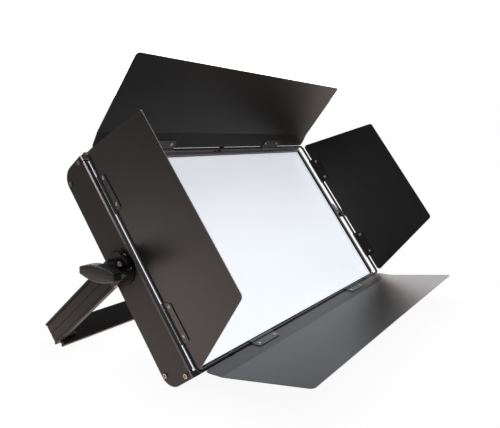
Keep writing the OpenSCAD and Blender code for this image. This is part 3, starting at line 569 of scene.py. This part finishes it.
def grip_head(mesh, face_x):
    """The crowned, rounded cross bar of the grip. Its outer face looks towards -X, at face_x."""
    outline = lens_outline()
    steps = 6
    layers = []
    for step in range(steps + 1):
        angle = math.radians(90.0 * step / steps)
        depth = GRIP_THICKNESS - GRIP_BACK_ROUNDING * (1.0 - math.cos(angle))
        layers.append((inset(outline, GRIP_BACK_ROUNDING * (1.0 - math.sin(angle))), depth))
    for step in range(steps + 1):
        angle = math.radians(90.0 * step / steps)
        depth = GRIP_ROUNDING * (1.0 - math.sin(angle)) + GRIP_CROWN
        layers.append((inset(outline, GRIP_ROUNDING * (1.0 - math.cos(angle))), depth))
    face_outline = layers[-1][0]
    for share in (0.85, 0.65, 0.45, 0.25):
        shrunk = [(along * share, up * share) for along, up in face_outline]
        layers.append((shrunk, GRIP_CROWN * share * share))
    rings = [
        [mesh.verts.new((face_x + depth, along, up)) for along, up in ring] for ring, depth in layers
    ]
    joined_rings(mesh, rings)
    capped(mesh, rings[0], (face_x + GRIP_THICKNESS, 0.0, 0.0))
    capped(mesh, rings[-1], (face_x, 0.0, 0.0))


def turned(mesh, profile, around=40):
    """A solid turned around the X axis from (place, radius) pairs, closed at both ends."""
    rings = []
    for place, radius in profile:
        rings.append([
            mesh.verts.new((
                place,
                radius * math.cos(2.0 * math.pi * index / around),
                radius * math.sin(2.0 * math.pi * index / around),
            ))
            for index in range(around)
        ])
    joined_rings(mesh, rings)
    capped(mesh, rings[0], (profile[0][0], 0.0, 0.0))
    capped(mesh, rings[-1], (profile[-1][0], 0.0, 0.0))


def neck_profile(start, end):
    """A neck that flares softly into the grip and into its collar."""
    length = end - start - COLLAR_LENGTH - COLLAR_STEP
    steps = 12
    profile = []
    for step in range(steps + 1):
        share = step / steps
        waist = math.sin(math.pi * share) ** 0.6
        profile.append((start + length * share, NECK_RADIUS + (1.0 - waist) * NECK_FLARE))
    profile.append((end - COLLAR_LENGTH, COLLAR_RADIUS))
    profile.append((end - COLLAR_EDGE, COLLAR_RADIUS))
    profile.append((end, COLLAR_RADIUS - COLLAR_EDGE))
    return profile


def object_from(mesh, name, material, smooth_angle=40.0):
    data = bpy.data.meshes.new(name)
    bmesh.ops.recalc_face_normals(mesh, faces=mesh.faces)
    mesh.to_mesh(data)
    mesh.free()
    data.materials.append(material)
    data.polygons.foreach_set("use_smooth", [True] * len(data.polygons))
    data.set_sharp_from_angle(angle=math.radians(smooth_angle))
    piece = bpy.data.objects.new(name, data)
    bpy.context.scene.collection.objects.link(piece)
    return piece


def t_grip(side, material):
    """One moulded T grip, drawn for the left side and mirrored for the right."""
    node = "handle_" + side
    flip = 1.0 if side == "left" else -1.0
    outer = max(abs(place) for place in reach(node, across))
    inner = min(abs(place) for place in reach(node, across))
    mesh = bmesh.new()
    grip_head(mesh, -outer)
    turned(mesh, neck_profile(-outer + GRIP_THICKNESS - NECK_OVERLAP, -inner))
    mesh.transform(Matrix.Translation((0.0, pivot.y, pivot.z)) @ Matrix.Scale(flip, 4, across))
    piece = object_from(mesh, "t_grip_" + side, material, 60.0)
    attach(piece, side + "_clamp")
    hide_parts(node)


grip_material = moulded(
    "grip_plastic", (0.015, 0.0148, 0.0147), 0.37, grain=1300.0, depth=0.00008
).material
t_grip("left", grip_material)
t_grip("right", grip_material)

# ---------------------------------------------------------------- dial marks

KNOBS = {"brightness_knob": "brightness_dial", "colour_knob": "colour_dial"}
TICKS = 11
TICK_SPAN = math.radians(270.0)
marking = moulded("white_marking", (0.62, 0.62, 0.60), 0.5, grain=600.0, depth=0.00002).material


def bar(mesh, centre, along, wide, high, length, width, height):
    """A low bar with bevelled upper edges, on a surface whose outward direction is high."""
    slope = 0.25 * height + 0.1 * MM
    corners = []
    for level, shrink in ((0.0, 0.0), (height, slope)):
        for side_a, side_b in ((-1, -1), (1, -1), (1, 1), (-1, 1)):
            place = centre + high * level
            place = place + along * side_a * (length / 2 - shrink) + wide * side_b * (width / 2 - shrink)
            corners.append(mesh.verts.new(place))
    low, top = corners[:4], corners[4:]
    mesh.faces.new(low)
    mesh.faces.new(top)
    joined_rings(mesh, [low, top])


def knob_frame(node):
    """Centre of a knob, its radius and the place of its outer end along the rear direction."""
    left, right = reach(node, across)
    low, high = reach(node, housing_up)
    top = reach(node, housing_back)[1]
    middle = across * (left + right) / 2 + housing_up * (low + high) / 2
    return middle, (right - left) / 2, top


TICK_WIDTH = 0.7 * MM
TICK_HEIGHT = 0.15 * MM
TICK_GAP = 2.0 * MM         # between a knob and its ticks
LONG_TICK = 3.0 * MM
SHORT_TICK = 1.8 * MM
POINTER_WIDTH = 1.1 * MM
POINTER_HEIGHT = 0.25 * MM


def dial_marks():
    surface = reach("rear_box", housing_back)[1]
    mesh = bmesh.new()
    for node in KNOBS:
        middle, radius, _ = knob_frame(node)
        for tick in range(TICKS):
            angle = -TICK_SPAN / 2 + TICK_SPAN * tick / (TICKS - 1)
            outwards = housing_up * math.cos(angle) + across * math.sin(angle)
            sideways = housing_up * -math.sin(angle) + across * math.cos(angle)
            length = LONG_TICK if tick % 5 == 0 else SHORT_TICK
            place = middle + housing_back * surface + outwards * (radius + TICK_GAP + length / 2)
            bar(mesh, place, outwards, sideways, housing_back, length, TICK_WIDTH, TICK_HEIGHT)
    piece = object_from(mesh, "dial_ticks", marking)
    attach(piece, "housing")


def knob_pointer(node, body):
    middle, radius, top = knob_frame(node)
    mesh = bmesh.new()
    place = middle + housing_back * top + housing_up * radius * 0.55
    bar(mesh, place, housing_up, across, housing_back, radius * 0.7, POINTER_WIDTH, POINTER_HEIGHT)
    piece = object_from(mesh, node + "_pointer", marking)
    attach(piece, body)


dial_marks()
for knob_name, knob_body in KNOBS.items():
    knob_pointer(knob_name, knob_body)

# ---------------------------------------------------------------- stage

CAMERA_PLACE = (-0.7571, pivot.y - 0.5109, 0.3192)
CAMERA_YAW = math.radians(55.48)
CAMERA_PITCH = math.radians(-10.17)
CAMERA_ROLL = math.radians(0.96)
CAMERA_LENS = 37.64
CAMERA_SHIFT = (0.0070, 0.0246)
BRIGHT_SIDE = (0.93, 0.37, 0.0)     # where the lit wall of the studio stands
BRIGHT_CEILING = (0.35, 0.15, 0.92)  # where the soft light above hangs
FAR_RIGHT = (0.90, -0.43, 0.0)       # where the floor is lit far from the object
FLOOR_BOUNCE = (1.0, 0.86, 0.80)
NEAR_LIT = 0.3          # metres from the origin up to which the floor sends its full light back
NEAR_DARK = 1.15        # where that light has faded
FAR_DARK = 0.7          # metres towards FAR_RIGHT where the far light starts
FAR_LIT = 1.3           # where the far light is full
SHADE_REACH = 0.10      # how far from the object its faint shade on the floor reaches
SHADE_LOWEST = 0.93


def smooth_backdrop():
    """A white floor that rises into a wall far behind the object, as one sweep."""
    radius = 1.5
    width = 7.0
    front = -5.0
    start = 2.2
    wall = 0.6
    steps = 16
    section = [(front, 0.0), (start, 0.0)]
    for step in range(1, steps + 1):
        angle = math.radians(90.0 * step / steps)
        section.append((start + radius * math.sin(angle), wall * (1 - math.cos(angle))))
    mesh = bmesh.new()
    rows = [[mesh.verts.new((x, y, z)) for x in (-width, width)] for y, z in section]
    for lower, upper in zip(rows, rows[1:]):
        face = mesh.faces.new((lower[0], lower[1], upper[1], upper[0]))
        face.smooth = True
    data = bpy.data.meshes.new("floor")
    mesh.to_mesh(data)
    mesh.free()
    floor = bpy.data.objects.new("floor", data)
    bpy.context.scene.collection.objects.link(floor)
    floor.rotation_euler.z = -CAMERA_YAW
    data.materials.append(floor_paper())


def floor_paper():
    """White paper that looks evenly lit, with a faint soft shade close to the object."""
    shader = Shader("floor_paper")
    shader.set("Base Color", (0.25, 0.22, 0.205))
    shader.set("Roughness", 0.9)
    shader.set("Emission Color", FLOOR_BOUNCE)
    distance = shader.add("ShaderNodeVectorMath")
    distance.operation = "LENGTH"
    shader.link(shader.place, distance.inputs[0])
    near = shader.remap(distance.outputs["Value"], NEAR_LIT, NEAR_DARK, 1.0, 0.05, smooth=True)
    ground = shader.add("ShaderNodeNewGeometry").outputs["Position"]
    far_right = shader.remap(shader.along(ground, FAR_RIGHT), FAR_DARK, FAR_LIT, 0.0, 1.8, smooth=True)
    shader.set("Emission Strength", shader.math("MAXIMUM", near, far_right))
    nearness = shader.add("ShaderNodeAmbientOcclusion")
    nearness.samples = 8
    nearness.inputs["Distance"].default_value = SHADE_REACH
    shade = shader.remap(nearness.outputs["AO"], 0.0, 1.0, SHADE_LOWEST, 1.0)
    paper = shader.spread(shader.noise(3.0, 3.0), 0.995, 1.0)
    bright = shader.add("ShaderNodeEmission")
    shader.link(shader.math("MULTIPLY", shade, paper), bright.inputs["Strength"])
    choice = shader.add("ShaderNodeMixShader")
    shader.link(shader.seen_directly(), choice.inputs[0])
    shader.link(shader.surface.outputs[0], choice.inputs[1])
    shader.link(bright.outputs[0], choice.inputs[2])
    shader.link(choice.outputs[0], shader.output.inputs["Surface"])
    return shader.material


def soft_light(name, place, target, width, height, power):
    data = bpy.data.lights.new(name, "AREA")
    data.shape = "RECTANGLE"
    data.size = width
    data.size_y = height
    data.energy = power
    light = bpy.data.objects.new(name, data)
    light.location = place
    light.rotation_euler = (Vector(target) - Vector(place)).to_track_quat("-Z", "Y").to_euler()
    bpy.context.scene.collection.objects.link(light)


def camera():
    data = bpy.data.cameras.new("camera")
    data.sensor_width = 36.0
    data.lens = CAMERA_LENS
    data.shift_x, data.shift_y = CAMERA_SHIFT
    data.clip_start = 0.02
    data.clip_end = 40.0
    holder = bpy.data.objects.new("camera", data)
    turn = (
        Matrix.Rotation(-CAMERA_YAW, 4, "Z")
        @ Matrix.Rotation(math.radians(90.0) + CAMERA_PITCH, 4, "X")
        @ Matrix.Rotation(CAMERA_ROLL, 4, "Z")
    )
    holder.matrix_world = Matrix.Translation(CAMERA_PLACE) @ turn
    bpy.context.scene.collection.objects.link(holder)
    bpy.context.scene.camera = holder


def studio_walls():
    """Light from all round: a bright side, a bright ceiling, dark elsewhere, plain white behind."""
    world = bpy.data.worlds.new("studio")
    world.use_nodes = True
    walls = NodeTree(world.node_tree, "ShaderNodeOutputWorld", "Generated")
    side = walls.remap(walls.along(walls.place, BRIGHT_SIDE), 0.50, 0.92, 0.04, 2.6, smooth=True)
    ceiling = walls.remap(walls.along(walls.place, BRIGHT_CEILING), 0.72, 0.92, 0.0, 1.6, smooth=True)
    strength = walls.math("MAXIMUM", side, ceiling)
    direct = walls.seen_directly()
    background = walls.add("ShaderNodeBackground")
    walls.link(walls.mix(direct, (0.96, 0.98, 1.0), (1.0, 1.0, 1.0)), background.inputs["Color"])
    walls.link(walls.math("MAXIMUM", strength, direct), background.inputs["Strength"])
    walls.link(background.outputs[0], walls.output.inputs["Surface"])
    bpy.context.scene.world = world


smooth_backdrop()
soft_light("overhead", (0.5, 0.4, 1.9), (0.0, 0.0, 0.1), 1.8, 1.4, 10.0)
soft_light("front", (-0.4, -2.2, 1.5), (0.0, 0.0, 0.15), 1.4, 1.0, 4.0)
soft_light("rear_left", (-0.85, pivot.y + 1.25, 1.15), (-0.34, pivot.y, pivot.z), 0.35, 0.3, 7.0)
soft_light("left", (-1.5, pivot.y + 0.35, 0.45), (-0.34, pivot.y, 0.2), 0.8, 0.6, 1.8)
camera()
studio_walls()
bpy.context.scene.view_settings.view_transform = "Standard"
